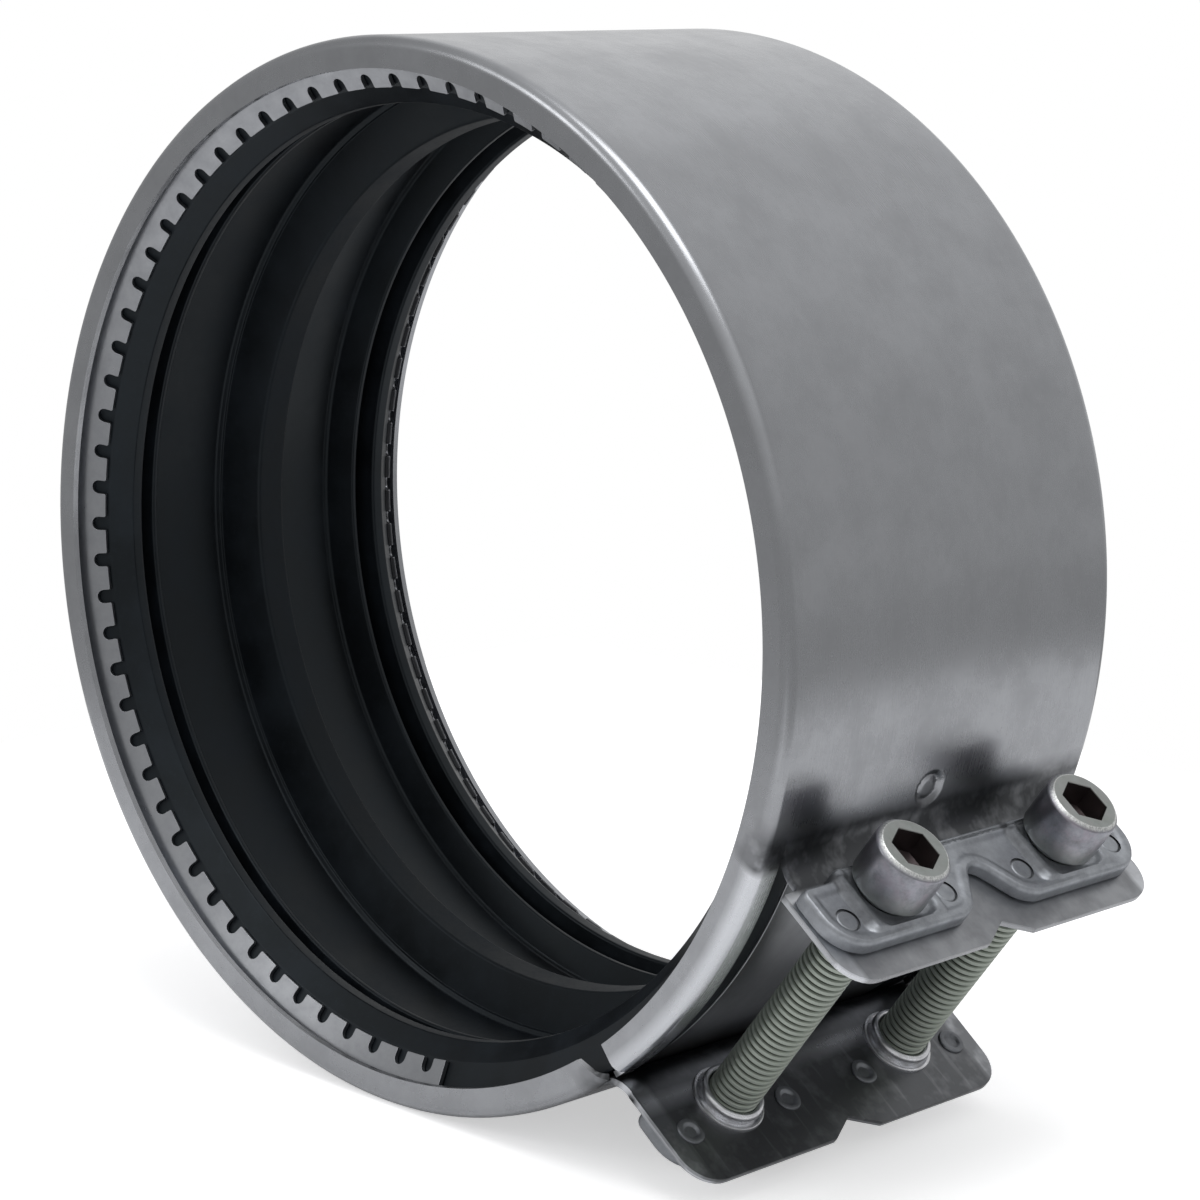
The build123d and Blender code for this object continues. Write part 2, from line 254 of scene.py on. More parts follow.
# %% [markdown]
# ## Shader maths as plain expressions
#
# A material is a small network of nodes, and a network written node by node is hard to read. One
# small class wraps an output socket, so that mask * 0.5 + 0.2 adds the Math nodes by itself. A
# second class holds a node tree and has one method for every other kind of node, and a third one
# adds what a material needs.


# %% Signal
class Signal:
    """An output socket on which + - * and / add Math nodes."""

    def __init__(self, socket):
        self.socket = socket

    def math(self, operation, *values):
        tree = self.socket.id_data
        node = tree.nodes.new("ShaderNodeMath")
        node.operation = operation
        for socket, value in zip(node.inputs, values):
            plug(tree, socket, value)
        return Signal(node.outputs[0])

    def __add__(self, other):
        return self.math("ADD", self, other)

    def __mul__(self, other):
        return self.math("MULTIPLY", self, other)

    def __sub__(self, other):
        return self.math("SUBTRACT", self, other)

    def __rsub__(self, other):
        return self.math("SUBTRACT", other, self)

    def __truediv__(self, other):
        return self.math("DIVIDE", self, other)

    __radd__ = __add__
    __rmul__ = __mul__

    def clamp(self):
        return self.math("MINIMUM", self.math("MAXIMUM", self, 0.0), 1.0)

    def absolute(self):
        return self.math("ABSOLUTE", self)

    def root(self):
        return self.math("SQRT", self)

    def band(self, low, high):
        """0 below low, 1 above high, and a straight ramp between them."""
        return ((self - low) / (high - low)).clamp()


def plug(tree, socket, value):
    """Link a signal to a socket, or set the socket to a plain value."""
    if isinstance(value, Signal):
        tree.links.new(value.socket, socket)
    else:
        socket.default_value = value


# %% Network
class Network:
    """The node tree of a material or of the world."""

    def __init__(self, owner):
        owner.use_nodes = True
        self.tree = owner.node_tree

    def node(self, kind, settings, inputs, output=0):
        """Any node: settings are set first, then the values or links of its sockets."""
        node = self.tree.nodes.new("ShaderNode" + kind)
        for key, value in settings.items():
            setattr(node, key, value)
        for key, value in inputs.items():
            plug(self.tree, node.inputs[key], value)
        return Signal(node.outputs[output])

    def camera_ray(self):
        """1 for rays that come from the camera."""
        return self.node("LightPath", {}, {}, "Is Camera Ray")

    def mirror_or_camera(self):
        """1 for rays that come from the camera, a reflection or glass, and 0 for diffuse light."""
        kinds = ("Is Camera Ray", "Is Glossy Ray", "Is Transmission Ray")
        return sum(self.node("LightPath", {}, {}, kind) for kind in kinds).clamp()


# %% Finish
class Finish(Network):
    """A procedural material with one Principled shader."""

    def __init__(self, name, **plain):
        self.material = bpy.data.materials.new(name)
        super().__init__(self.material)
        self.shader = self.tree.nodes["Principled BSDF"]
        self.set({key.replace("_", " ").title().replace("Ior", "IOR"): v for key, v in plain.items()})

    def set(self, inputs):
        for key, value in inputs.items():
            plug(self.tree, self.shader.inputs[key], value)

    def gap_place(self):
        """Reach through the gap, place along the pipe and height toward the heads, in millimetres."""
        point = self.node("TexCoord", {}, {}, "Object")
        return [self.node("VectorMath", {"operation": "DOT_PRODUCT"},
                          {0: point, 1: gap_frame.col[axis].xyz / mm}, "Value") for axis in range(3)]

    def pipe_radius(self):
        """How far the point lies from the pipe's axis, in millimetres."""
        reach, _, height = self.gap_place()
        return (reach * reach + height * height).root()

    def screw_radius(self):
        """How far the point lies from the axis of the nearer screw, in millimetres."""
        reach, along, _ = self.gap_place()
        out, beside = reach - screw_place, along.absolute() - screw_side
        return (out * out + beside * beside).root()

    def noise(self, size, detail=3.0, rough=0.5, stretch=(1, 1, 1)):
        """Noise whose blotches are about size millimetres across, stretched along the axes."""
        point = self.node("TexCoord", {}, {}, "Object")
        scale = [1 / (size * mm * s) for s in stretch]
        vector = self.node("Mapping", {}, {"Vector": point, "Scale": scale})
        return self.node("TexNoise", {}, {"Vector": vector, "Scale": 1.0, "Detail": detail,
                                          "Roughness": rough})

    def mix(self, factor, one, two):
        """A colour between two colours."""
        return self.node("Mix", {"data_type": "RGBA"}, {0: factor, 6: one, 7: two}, 2)

    def bump(self, height, distance, strength=1.0):
        """A normal from a height between 0 and 1 that stands distance millimetres high."""
        return self.node("Bump", {}, {"Height": height, "Strength": strength,
                                      "Distance": distance * mm})


# %% [markdown]
# ## Rolled stainless steel
#
# The casing is rolled sheet with a satin mill finish. Under a microscope it's full of fine lines
# along the rolling direction, which runs round the hoop, so across the sheet, along y, the pattern
# changes fast and along the other two axes slowly. Cloudy patches of handling marks sit on top in
# the roughness, because stains on steel show in the gloss before they show in the colour.
#
# Stains, wear, painted shade and painted highlights have their places, such as the painted shade in
# the bends at the lugs' roots and the worn rim of a screw's head. Each finish that has some gets a
# function that finds them by a point's place in the gap's frame: a band between two places in
# millimetres is a mask, and masks are multiplied, added and mixed over the steel.

# %% Steel
def steel(name, colour, dark, roughness, lines=0.05, cloud=14.0, contrast=0.5, stretch=(40, 1, 40),
          shaded=None):
    """Metal with rolling lines and clouds. shaded changes its colour and gloss by place."""
    finish = Finish(name, metallic=1.0)
    grain = finish.noise(0.35, 2.0, 0.6, stretch)
    clouds = finish.noise(cloud, 4.0, 0.55)
    marks = finish.noise(cloud / 5, 5.0, 0.65)
    stain = (clouds.band(0.35, 0.7) * 0.7 + marks.band(0.4, 0.75) * 0.3) * contrast
    shade = (stain + (grain - 0.5) * lines * 4).clamp()
    base, duller = finish.mix(shade, (*colour, 1), (*dark, 1)), 0.0
    if shaded:
        base, duller = shaded(finish, base)
    finish.set({
        "Base Color": base,
        "Roughness": (stain * 0.16 + (grain - 0.5) * lines * 2 + roughness + duller).clamp(),
        "Normal": finish.bump(grain, 0.02, lines * 3),
    })
    return finish.material


# %% Steel of the casing and strip insert
# Grey of the painted shade in the bends at the lugs' roots, on the lug plates, the lower lug and edges.
casing_painted_shade = (0.018, 0.02, 0.022, 1)
# Colour of a painted highlight on the tongues at the rims.
tongue_painted_highlight = (0.80, 0.82, 0.86, 1)
lug_start = casing_radius + 4.0


def casing_shade(finish, base):
    """Painted shade at the lugs' roots and on the lower lug, and a painted highlight on the tongues."""
    reach, along, height = finish.gap_place()
    side, end = height.absolute(), along.absolute()
    smudge = finish.noise(7.0, 3.0, 0.6)
    scratch = finish.noise(2.0, 2.0, 0.5, (12, 1, 12)).band(0.62, 0.7)
    # Painted shade in the bends at the lugs' roots, broken up by smudge noise.
    bend = (reach + smudge * 9).band(casing_radius - 8.0, casing_radius - 1.5)
    bend = bend * (1 - reach.band(lug_start - 2.2, lug_start)) * side.band(33.0, 35.0)
    bend = bend * (1 - side.band(41.0, 46.0))
    # A soft spot at the front end of each bend where the painted shade is left out: a painted highlight.
    out, over = (reach - casing_radius + 1.5) / 2.6, (along + 51.5) / 3.2
    bend_highlight_spot = 1 - (out * out + over * over).band(0.3, 1.0)
    # Painted shade on the lug plates between the bends and the brackets.
    plate = reach.band(lug_start - 1.0, lug_start + 1.0) * side.band(34.9, 35.2)
    # Painted shade on the sheet's edges beside the lugs' roots.
    edge = end.band(52.6, 52.9) * reach.band(casing_radius, lug_start)
    # Painted shade on the lower lug's inner face; the scratches in it are real.
    inner = 1 - (height + lug_inner + 0.3).absolute().band(0.4, 0.7)
    inner = inner * reach.band(lug_start, lug_start + 4.0)
    # A painted highlight that lightens the tongues.
    tongue = end.band(47.5, 49.0) * finish.pipe_radius().band(121.5, 124.5)
    tongue = tongue * (1 - side.band(36.0, 42.0)) * reach.band(96.0, 106.0)
    dark = bend * (1 - bend_highlight_spot) * (1 - smudge.band(0.5, 0.7) * 0.4) * 0.84
    dark = dark + inner * (0.7 - scratch * 0.12 - smudge.band(0.5, 0.75) * 0.3)
    dark = dark + plate * (0.1 + smudge.band(0.4, 0.7) * 0.22) + edge * (1 - inner) * 0.35
    base = finish.mix(tongue * 0.75, base, tongue_painted_highlight)
    return finish.mix(dark.clamp(), base, casing_painted_shade), (bend + plate + inner) * 0.1


casing_steel = steel("casing_steel", (0.40, 0.41, 0.43), (0.27, 0.275, 0.29), roughness=0.24,
                     shaded=casing_shade)
insert_steel = steel("insert_steel", (0.36, 0.37, 0.39), (0.2, 0.205, 0.22), roughness=0.3)
print("casing and insert steel made")

# %% Steel of the brackets
# Grey of the painted shade on the brackets.
bracket_painted_shade = (0.02, 0.02, 0.02, 1)


def bracket_shade(finish, base):
    """Painted shade on the clinch buttons, the lower bracket and the front slopes of the ribs."""
    reach, along, height = finish.gap_place()
    # Painted shade on the clinch buttons between the lugs.
    inside = 1 - height.absolute().band(lug_outer - 0.9, lug_outer - 0.3)
    # Painted shade on the lower bracket.
    under = 1 - height.band(-lug_outer - 0.1, -lug_outer + 0.1)
    beside = along - (along.band(-0.1, 0.1) * 2 - 1) * screw_side
    # Painted shade on the front slope of each rib, which takes down its highlight.
    slope = beside.band(-13.6, -12.6) * (1 - beside.band(-11.0, -9.8))
    slope = slope * (1 - reach.band(142.0, 144.0))
    dark = inside * 0.45 + under * (1 - inside) * 0.35 + slope * 0.55
    return finish.mix(dark.clamp(), base, bracket_painted_shade), slope * 0.15


bracket_steel = steel("bracket_steel", (0.42, 0.44, 0.47), (0.24, 0.25, 0.27), roughness=0.44,
                      lines=0.04, cloud=6.0, contrast=0.9, stretch=(1, 1, 1), shaded=bracket_shade)
print("bracket steel made")

# %% Zinc of the screws and nuts, and the washers
# Painted shade for the thread's valleys; the crests keep the thread's olive colour.
thread_valley_shade = (0.07, 0.076, 0.065, 1)
thread_crest = (0.43, 0.47, 0.42, 1)
purple_bloom = (0.42, 0.36, 0.42, 1)
green_bloom = (0.33, 0.36, 0.32, 1)
bare_rim = (0.85, 0.86, 0.85, 1)
# Brownish painted shade for the inside of the socket.
socket_shade = (0.12, 0.092, 0.085, 1)


def screw_shade(finish, base):
    """Blue-grey heads with a worn rim, painted shade in the socket and in the olive threads' valleys."""
    radius = finish.screw_radius()
    height = finish.gap_place()[2]
    worn = finish.noise(0.5, 5.0, 0.8).band(0.38, 0.6)
    patch = finish.noise(3.5, 3.0, 0.6).band(0.45, 0.6)
    head = height.band(seat_height - 0.2, seat_height + 0.2)
    # Painted shade inside the socket.
    socket = head * (1 - radius.band(5.9, 6.1)) * (1 - height.band(head_top - 0.4, head_top))
    rim = head * radius.band(7.7, 7.95) * (1 - radius.band(8.35, 8.8))
    rim = rim * height.band(head_top - 1.0, head_top - 0.6)
    face = head * height.band(head_top - 0.6, head_top - 0.2) * 0.6
    low = head * (1 - height.band(seat_height + 1.0, seat_height + 6.0)) * 0.55
    # The thread's valleys get painted shade, the crests their own olive colour.
    crest = radius.band(thread_root + 0.1, thread_root + 0.4)
    colour = finish.mix(head, finish.mix(crest, thread_valley_shade, thread_crest), base)
    colour = finish.mix(head * patch * 0.35, colour, purple_bloom)
    colour = finish.mix((low + face).clamp(), colour, green_bloom)
    colour = finish.mix(rim * (worn * 0.8 + 0.2), colour, bare_rim)
    return finish.mix(socket * 0.78, colour, socket_shade), (1 - head) * 0.22


zinc = {"lines": 0.03, "cloud": 3.0, "contrast": 0.8, "stretch": (1, 1, 1)}
screw_zinc = steel("screw_zinc", (0.36, 0.37, 0.41), (0.17, 0.165, 0.175), roughness=0.28,
                   shaded=screw_shade, **zinc)
nut_zinc = steel("nut_zinc", (0.80, 0.81, 0.84), (0.42, 0.42, 0.42), roughness=0.26, **zinc)
washer_steel = steel("washer_steel", (0.48, 0.49, 0.5), (0.3, 0.3, 0.31), roughness=0.28)
print("zinc and washer steel made")

# %% [markdown]
# ## Rubber
#
# The gasket is black moulded rubber with a faint blue bloom. It isn't matt: the moulded skin has a
# soft sheen that draws a bright line along every lip. Dust and dried release agent dull it in
# patches, and most of all on the narrow land of the stop rib.

# %% Rubber finish
rubber = Finish("gasket_rubber", metallic=0.0, specular_ior_level=0.3,
                specular_tint=(0.82, 0.93, 1.0, 1.0))
black_rubber = (0.004, 0.005, 0.0065, 1)
dusty_rubber = (0.015, 0.02, 0.027, 1)
bloom = rubber.noise(18, 4.0, 0.6)
dust = rubber.noise(1.2, 6.0, 0.7)
skin = rubber.noise(0.5, 2.0)
streaks = rubber.noise(2.0, 3.0, 0.6, (12, 1, 12))
rib_side = rubber.gap_place()[1].absolute()
land = (1 - rib_side.band(3.6, 4.4)) * (1 - rubber.pipe_radius().band(107.0, 108.0))
rubber.set({
    "Base Color": rubber.mix((bloom.band(0.4, 0.75) * 0.5 + dust.band(0.55, 0.8) * 0.5).clamp(),
                             black_rubber, dusty_rubber),
    "Roughness": (bloom.band(0.35, 0.7) * 0.12 + dust.band(0.5, 0.8) * 0.15 + land * 0.3 + 0.32).clamp(),
    "Normal": rubber.bump(skin * 0.4 + streaks * 0.6, 0.05, 0.35),
})
gasket_rubber = rubber.material
print("rubber made")

# %% [markdown]
# ## The casing
#
# The casing is one strip. Its section is a wall with a rounded corner and a rim turned in at each
# edge. Spinning that section about the pipe gives the hoop. Where the gap is, only the rims go on
# across it, as two tongues from the upper end that meet the lower end's stubs at a slanting slit,
# and the wall between them is bent out into the two lugs. Everything is drawn as one surface, the
# outer one, with each part swept from the edges of the part before it, so there's no seam to hide.
# The Solidify modifier then gives the sheet its thickness. The section has more points where a
# dimple will be pressed in, and the first degrees of the hoop are swept in finer steps for it.

# %% Casing: sizes of the window, slit and dimple
window_half = 48.0
root_angle = degrees(asin((lug_outer + lug_bend) / (casing_radius + lug_bend)))
slit_reach = 2.1
slit_angle = root_angle - degrees(slit_reach / casing_radius)
slit_width = 1.0
slit_slant = 35.0
slit_low, slit_high = -50.0, -26.0
tongue_spare = 2.5
stub_edge = 53.0
stub_turn = 4.5
dimple_turn = 6.0
dimple_angle = 21.0
dimple_side = -2.4
dimple_radius = 4.5
dimple_depth = 1.0
dimple_step = 0.5
print(f"the lugs' roots lie {root_angle:.2f} degrees from the gap's middle")


# %% Casing: section, hoop and tongues
def turned(angle):
    """The turn about the pipe from the gap's middle toward the heads."""
    return Matrix.Rotation(-radians(angle), 3, "Y")


casing = bmesh.new()
stations = [-window_half, -36, -24, -12]
stations += [dimple_side + dimple_step * i for i in range(-10, 11)]
stations += [12, 24, 36, window_half]
draw(casing, [(rim_radius, -half_width, 0, 0), (casing_radius, -half_width, 0, corner_radius)]
     + [(casing_radius, y, 0, 0) for y in stations]
     + [(casing_radius, half_width, 0, corner_radius), (rim_radius, half_width, 0, 0)])
bmesh.ops.rotate(casing, verts=casing.verts, cent=(0, 0, 0), matrix=turned(root_angle))
section = list(casing.edges)


def between(edges, low, high):
    """The edges whose middle lies between two distances from the casing's middle."""
    return [edge for edge in edges
            if low * mm < abs(edge.verts[0].co.y + edge.verts[1].co.y) / 2 < high * mm]


row = sweep(casing, section, dimple_turn, 50)
end_row = sweep(casing, row, 360 - 2 * root_angle - dimple_turn, 300)
hoop = set(casing.faces)
sweep(casing, between(section, window_half, 99), -root_angle - slit_angle - tongue_spare, 36)
tongues = set(casing.faces) - hoop
sweep(casing, between(end_row, stub_edge, 99), stub_turn, 5)
stubs = set(casing.faces) - hoop - tongues
upper_row = between(section, 0, window_half)
lower_row = between(end_row, 0, stub_edge)
print("hoop, tongues and stubs:", len(hoop), len(tongues), len(stubs), "faces")

# %% [markdown]
# The slit is a slanting cut. Bisecting only the faces of the tongues on one side of it, and only
# those of the stubs on the other side, leaves the clean gap that shows under the front rim.

# %% Casing: slit
slit_radius = (rim_radius + casing_radius) / 2
slit_middle = turned(-slit_angle) @ Vector((slit_radius * mm, 0, 0))
slit_normal = turned(slit_slant - slit_angle) @ Vector((0, 0, 1))


def slice_off(bm, faces, point, normal):
    """Cut faces by a plane and delete what lies on the side that normal points to."""
    bmesh.ops.bisect_plane(bm, geom=with_rims(faces), dist=1e-7, plane_co=point, plane_no=normal,
                           clear_outer=True)


def near_slit(face):
    """Whether a face lies in the rims of the lower end, beside the slit."""
    middle = face.calc_center_median()
    beside = slit_low * mm < middle.z < slit_high * mm
    return beside and abs(middle.y) > stub_edge * mm and middle.x > 0


slice_off(casing, tongues, slit_middle + slit_normal * slit_width / 2 * mm, -slit_normal)
low_end = [face for face in casing.faces if face not in tongues and near_slit(face)]
slice_off(casing, low_end, slit_middle - slit_normal * slit_width / 2 * mm, slit_normal)
print("casing has", len(casing.faces), "faces after the slit")

# %% [markdown]
# Each lug starts with a bend, which is a sweep about its own centre, and ends in a flat plate. The
# plate's outline is drawn on from the bend's last row, with rounded corners, a vee notch and the
# holes, and filled in one go. The upper lug is narrower at its root, where the tongues pass, and
# steps out past them.

# %% Casing: sizes of the lugs
bend_height = lug_outer + lug_bend
bend_place = sqrt((casing_radius + lug_bend) ** 2 - bend_height**2)
lug_end = casing_radius + 27.5
lug_half = 53.0
lug_corner = 8.5
lug_notch = 8.0
lug_notch_depth = 4.4
lug_notch_tip = 0.8
lug_notch_shoulder = 1.0
relief_place = casing_radius + 2.0
relief_corner = 1.9
relief_tip = 0.6
clinch_place = 140.0
clinch_spacing = 32.2
clinch_hole = 2.7
screw_hole = 6.75
collar_hole = 7.5
screw_spots = [(screw_place, y) for _, y in screw_places]
clinch_spots = [(clinch_place, y + half) for _, y in screw_places
                for half in (-clinch_spacing / 2, clinch_spacing / 2)]
print(f"the lugs reach {lug_end - casing_radius:.1f} mm out of the casing")


# %% Casing: lugs
def mirrored(half, middle=()):
    """Corners from one side to the other: a half outline, the middle, and the half reversed."""
    return half + list(middle) + [(x, -y, z, radius) for x, y, z, radius in reversed(half)]


def holes(bm, places, radius, height, segments=40):
    """Open circles of a radius at places (x, y) on a flat at a height."""
    for x, y in places:
        matrix = Matrix.Translation(Vector((x, y, height)) * mm)
        bmesh.ops.create_circle(bm, segments=segments, radius=radius * mm, matrix=matrix)


def fill_flat(bm, height):
    """Fill the open outline and its holes at a height, and return the new faces."""
    flat = [edge for edge in bm.edges if len(edge.link_faces) < 2
            and all(abs(vert.co.z - height * mm) < 1e-6 for vert in edge.verts)]
    made = bmesh.ops.triangle_fill(bm, edges=flat, use_beauty=True, normal=(0, 0, 1))
    return only("Face", made["geom"])


def lug(side, start_edges, root_half, hole_radius):
    """Bend one end of the wall out and add its flat plate. side is 1 above the gap and -1 below."""
    last = sweep(casing, start_edges, side * (90 - root_angle), 16, (bend_place, 0, side * bend_height))
    ends = sorted(verts_of(last), key=lambda vert: vert.co.y)
    height = side * lug_outer
    half = [(relief_place, root_half, height, relief_corner),
            (relief_place, lug_half, height, relief_tip),
            (lug_end, lug_half, height, lug_corner),
            (lug_end, lug_notch, height, lug_notch_shoulder)]
    if side < 0:
        half = half[2:]
    corners = mirrored(half, [(lug_end - lug_notch_depth, 0, height, lug_notch_tip)])
    first, final = (bend_place, root_half, height, 0), (bend_place, -root_half, height, 0)
    before = set(casing.verts)
    draw(casing, [first] + corners + [final])
    drawn = added(casing, before)[0]
    bmesh.ops.remove_doubles(casing, verts=drawn + [ends[0], ends[-1]], dist=0.4 * mm)
    holes(casing, clinch_spots, clinch_hole, height, 20)
    holes(casing, screw_spots, hole_radius, height)
    return fill_flat(casing, height)


upper = lug(1, upper_row, window_half, screw_hole)
lower_half = max(abs(vert.co.y) for vert in verts_of(lower_row)) / mm
lower = lug(-1, lower_row, lower_half, collar_hole)
print("lug plates:", len(upper), len(lower), "faces; lower root half width", round(lower_half, 2))

# %% [markdown]
# The dimple over the strip insert is pressed in: each point within its radius is pushed toward the
# axis, by more in a ring near the dimple's edge, as a ring-shaped punch does. The face opposite the
# gap then tells whether the normals point out, so that the wall grows inward.

# %% Casing: dimple and wall
bmesh.ops.remove_doubles(casing, verts=casing.verts, dist=0.002 * mm)
dimple_centre = turned(dimple_angle) @ Vector((casing_radius, dimple_side, 0)) * mm
inward = turned(dimple_angle) @ Vector((-1, 0, 0))
for vert in casing.verts:
    away = (vert.co - dimple_centre).length / (dimple_radius * mm)
    if away < 1:
        ring = max(0.0, 1 - abs(away - 0.68) / 0.3) ** 2
        vert.co += inward * mm * dimple_depth * (1 - away**6) * (0.55 + 0.45 * ring)
bmesh.ops.recalc_face_normals(casing, faces=casing.faces)
far_face = min(casing.faces, key=lambda face: face.calc_center_median().x)
if far_face.normal.x > 0:
    bmesh.ops.reverse_faces(casing, faces=casing.faces)
add_piece("casing_strip", casing, casing_steel, "casing_steel", ["casing"], edge_round=0.25, wall=sheet)

# %% [markdown]
# ## The gasket
#
# The gasket is a body of revolution, so half of its section is drawn, mirrored and spun round the
# pipe: a recess for the strip insert outside, and two sealing lips and half a stop rib inside.
# Rubber has no sharp corner anywhere: each corner of the section has its own round, small on the
# lips and larger where the mould was cut with a round tool.

# %% Gasket
recess = [(122.9, 40.3, 0, 0.3), (124.2, 40.6, 0, 0.3), (124.2, 52.7, 0, 0.6)]
outer_lip = [(114.3, 47.3, 0, 0.8), (110.5, 42.5, 0, 0.8), (110.5, 39.5, 0, 0.9), (118.5, 37.7, 0, 0.6)]
inner_lip = [(118.5, 36.2, 0, 0.6), (112.2, 34.9, 0, 0.6), (112.2, 33.5, 0, 0.7), (119.6, 30.0, 0, 1.5)]
stop_rib = [(118.6, 9.1, 0, 0.8), (117.3, 8.5, 0, 0.4), (117.3, 7.9, 0, 0.3), (106.5, 4.0, 0, 1.0)]
gasket = bmesh.new()
draw(gasket, mirrored(recess + outer_lip + inner_lip + stop_rib), close=True)
bmesh.ops.spin(gasket, geom=gasket.verts[:] + gasket.edges[:], cent=(0, 0, 0), axis=(0, -1, 0),
               angle=full_turn, steps=288, use_merge=True)
bmesh.ops.remove_doubles(gasket, verts=gasket.verts, dist=0.001 * mm)
bmesh.ops.recalc_face_normals(gasket, faces=gasket.faces)
add_piece("gasket_sleeve", gasket, gasket_rubber, "gasket_rubber", ["gasket"])

# %% [markdown]
# ## The toothed rings
#
# A ring is a flat strip of spring steel punched with slots and rolled into a cone. One pitch of it,
# half a tooth, a slot and half a tooth, is drawn flat, laid onto the cone and spun round as copies.
# The two ends get a little more metal each, and the rear ring is the front one mirrored.

# %% Toothed rings: sizes and steel
ring_outer = 122.8
ring_tip = 114.0
ring_cone = radians(28.9)
ring_start = half_width - 1.9
ring_sheet = 1.2
slot_count = 57
slot_pitch = 4.7
slot_width = 3.5
slot_depth = 3.2
tooth_corner = 0.35
ring_gap = 91.0
ring_end = (360 - ring_gap - slot_count * slot_pitch) / 2
slope_length = (ring_outer - ring_tip) / cos(ring_cone)
# Grey of the painted shade on the rear ring's inner face.
rear_ring_shade = (0.03, 0.03, 0.035, 1)


def ring_shade(finish, base):
    """The inner face of the rear ring lies in the sleeve's shadow, painted as a darker colour."""
    along = finish.gap_place()[1]
    outside = along + (ring_outer - finish.pipe_radius()) * tan(ring_cone) - ring_start
    # Painted shade on the rear ring's inner face.
    inner = along.band(-5.0, 5.0) * (1 - outside.band(-0.6, -0.2))
    return finish.mix(inner * 0.8, base, rear_ring_shade), 0.0


ring_steel = steel("ring_steel", (0.38, 0.39, 0.41), (0.26, 0.27, 0.29), roughness=0.28, lines=0.04,
                   cloud=5.0, contrast=0.6, shaded=ring_shade)
print(f"{slot_count} slots, {ring_end:.2f} degrees of plain metal at each end")


# %% Toothed rings: one pitch on the cone
def fill_and_cut(bm, places):
    """Fill a closed wire with one face and cut it at places along x, so that it can be bent."""
    bmesh.ops.edgeloop_fill(bm, edges=bm.edges[:])
    for place in places:
        bmesh.ops.bisect_plane(bm, geom=bm.verts[:] + bm.edges[:] + bm.faces[:], dist=1e-7,
                               plane_co=(place * mm, 0, 0), plane_no=(1, 0, 0))


def face_toward(bm, way):
    """Make a sheet's faces agree and point, taken together, in a direction."""
    bmesh.ops.recalc_face_normals(bm, faces=bm.faces)
    if sum(face.normal.dot(way) for face in bm.faces) < 0:
        bmesh.ops.reverse_faces(bm, faces=bm.faces)


def on_cone(flat):
    """Lay a point of the flat pattern, x round and y down the slope in millimetres, onto the cone."""
    x, slope, _ = flat / mm
    angle = x / ((ring_outer + ring_tip) / 2)
    radius = ring_outer - slope * cos(ring_cone)
    y = slope * sin(ring_cone) - ring_start
    return Vector((-radius * cos(angle), y, radius * sin(angle))) * mm


def ring_pitch(ring):
    """Half a tooth, a slot and half a tooth, laid on the cone at the middle of the ring."""
    half_pitch = radians(slot_pitch) / 2 * (ring_outer + ring_tip) / 2
    slot_top = slope_length - slot_depth / cos(ring_cone)
    slot_half = slot_width / 2
    half = [(half_pitch, 0, 0, 0), (half_pitch, slope_length, 0, 0),
            (slot_half, slope_length, 0, tooth_corner), (slot_half, slot_top, 0, slot_half * 0.98)]
    draw(ring, half + [(-x, y, z, radius) for x, y, z, radius in reversed(half)], close=True)
    fill_and_cut(ring, [share * half_pitch for share in (-0.7, -0.35, 0, 0.35, 0.7)])
    for vert in ring.verts:
        vert.co = on_cone(vert.co)


# %% Toothed rings: the rings
def toothed_ring(end):
    """One ring of copies of a pitch, with a plain end at each side."""
    ring = bmesh.new()
    ring_pitch(ring)
    first = -(slot_count - 1) / 2 * slot_pitch
    bmesh.ops.rotate(ring, verts=ring.verts, cent=(0, 0, 0), matrix=turned(first))
    bmesh.ops.spin(ring, geom=ring.faces[:], cent=(0, 0, 0), axis=(0, -1, 0), use_duplicate=True,
                   angle=radians(slot_pitch * (slot_count - 1)), steps=slot_count - 1)
    bmesh.ops.remove_doubles(ring, verts=ring.verts, dist=0.02 * mm)
    for side in (-1, 1):
        last = turned(180 + side * slot_count * slot_pitch / 2) @ Vector((1, 0, 0))
        rim = [edge for edge in ring.edges if edge.is_boundary and edge.verts[0].co.dot(last) > 0
               and all(abs(vert.co.cross(last).y) < 0.05 * mm for vert in edge.verts)]
        sweep(ring, rim, side * ring_end, 1)
        bmesh.ops.dissolve_edges(ring, edges=[e for e in rim if e.is_valid], use_verts=True)
    if end == "rear":
        bmesh.ops.scale(ring, vec=(1, -1, 1), verts=ring.verts)
    face_toward(ring, Vector((0, 1 if end == "rear" else -1, 0)))
    add_piece(f"teeth_{end}", ring, ring_steel, "ring_steel", [f"anchor_ring_{end}"],
              edge_round=0.18, wall=ring_sheet)


for end in ("front", "rear"):
    toothed_ring(end)

# %% [markdown]
# ## The strip insert
#
# Behind the gap lies a curved plate, which keeps the rubber in where the casing is open. It is an
# outline with four round corners, bent onto a cylinder.

# %% Strip insert
insert_radius = 124.2
insert_sheet = 1.0
insert_angle = 27.0
insert_half = 40.0
insert_corner = 6.0
insert = bmesh.new()
arc = radians(insert_angle) * insert_radius
draw(insert, mirrored([(x, insert_half, 0, insert_corner) for x in (-arc, arc)]), close=True)
fill_and_cut(insert, [step / 31 * arc for step in range(-30, 31)])
for vert in insert.verts:
    angle = vert.co.x / (insert_radius * mm)
    vert.co = Vector((cos(angle), 0, sin(angle))) * insert_radius * mm + Vector((0, vert.co.y, 0))
face_toward(insert, Vector((1, 0, 0)))
add_piece("insert_plate", insert, insert_steel, "insert_steel", ["strip_insert"], edge_round=0.2,
          wall=insert_sheet)

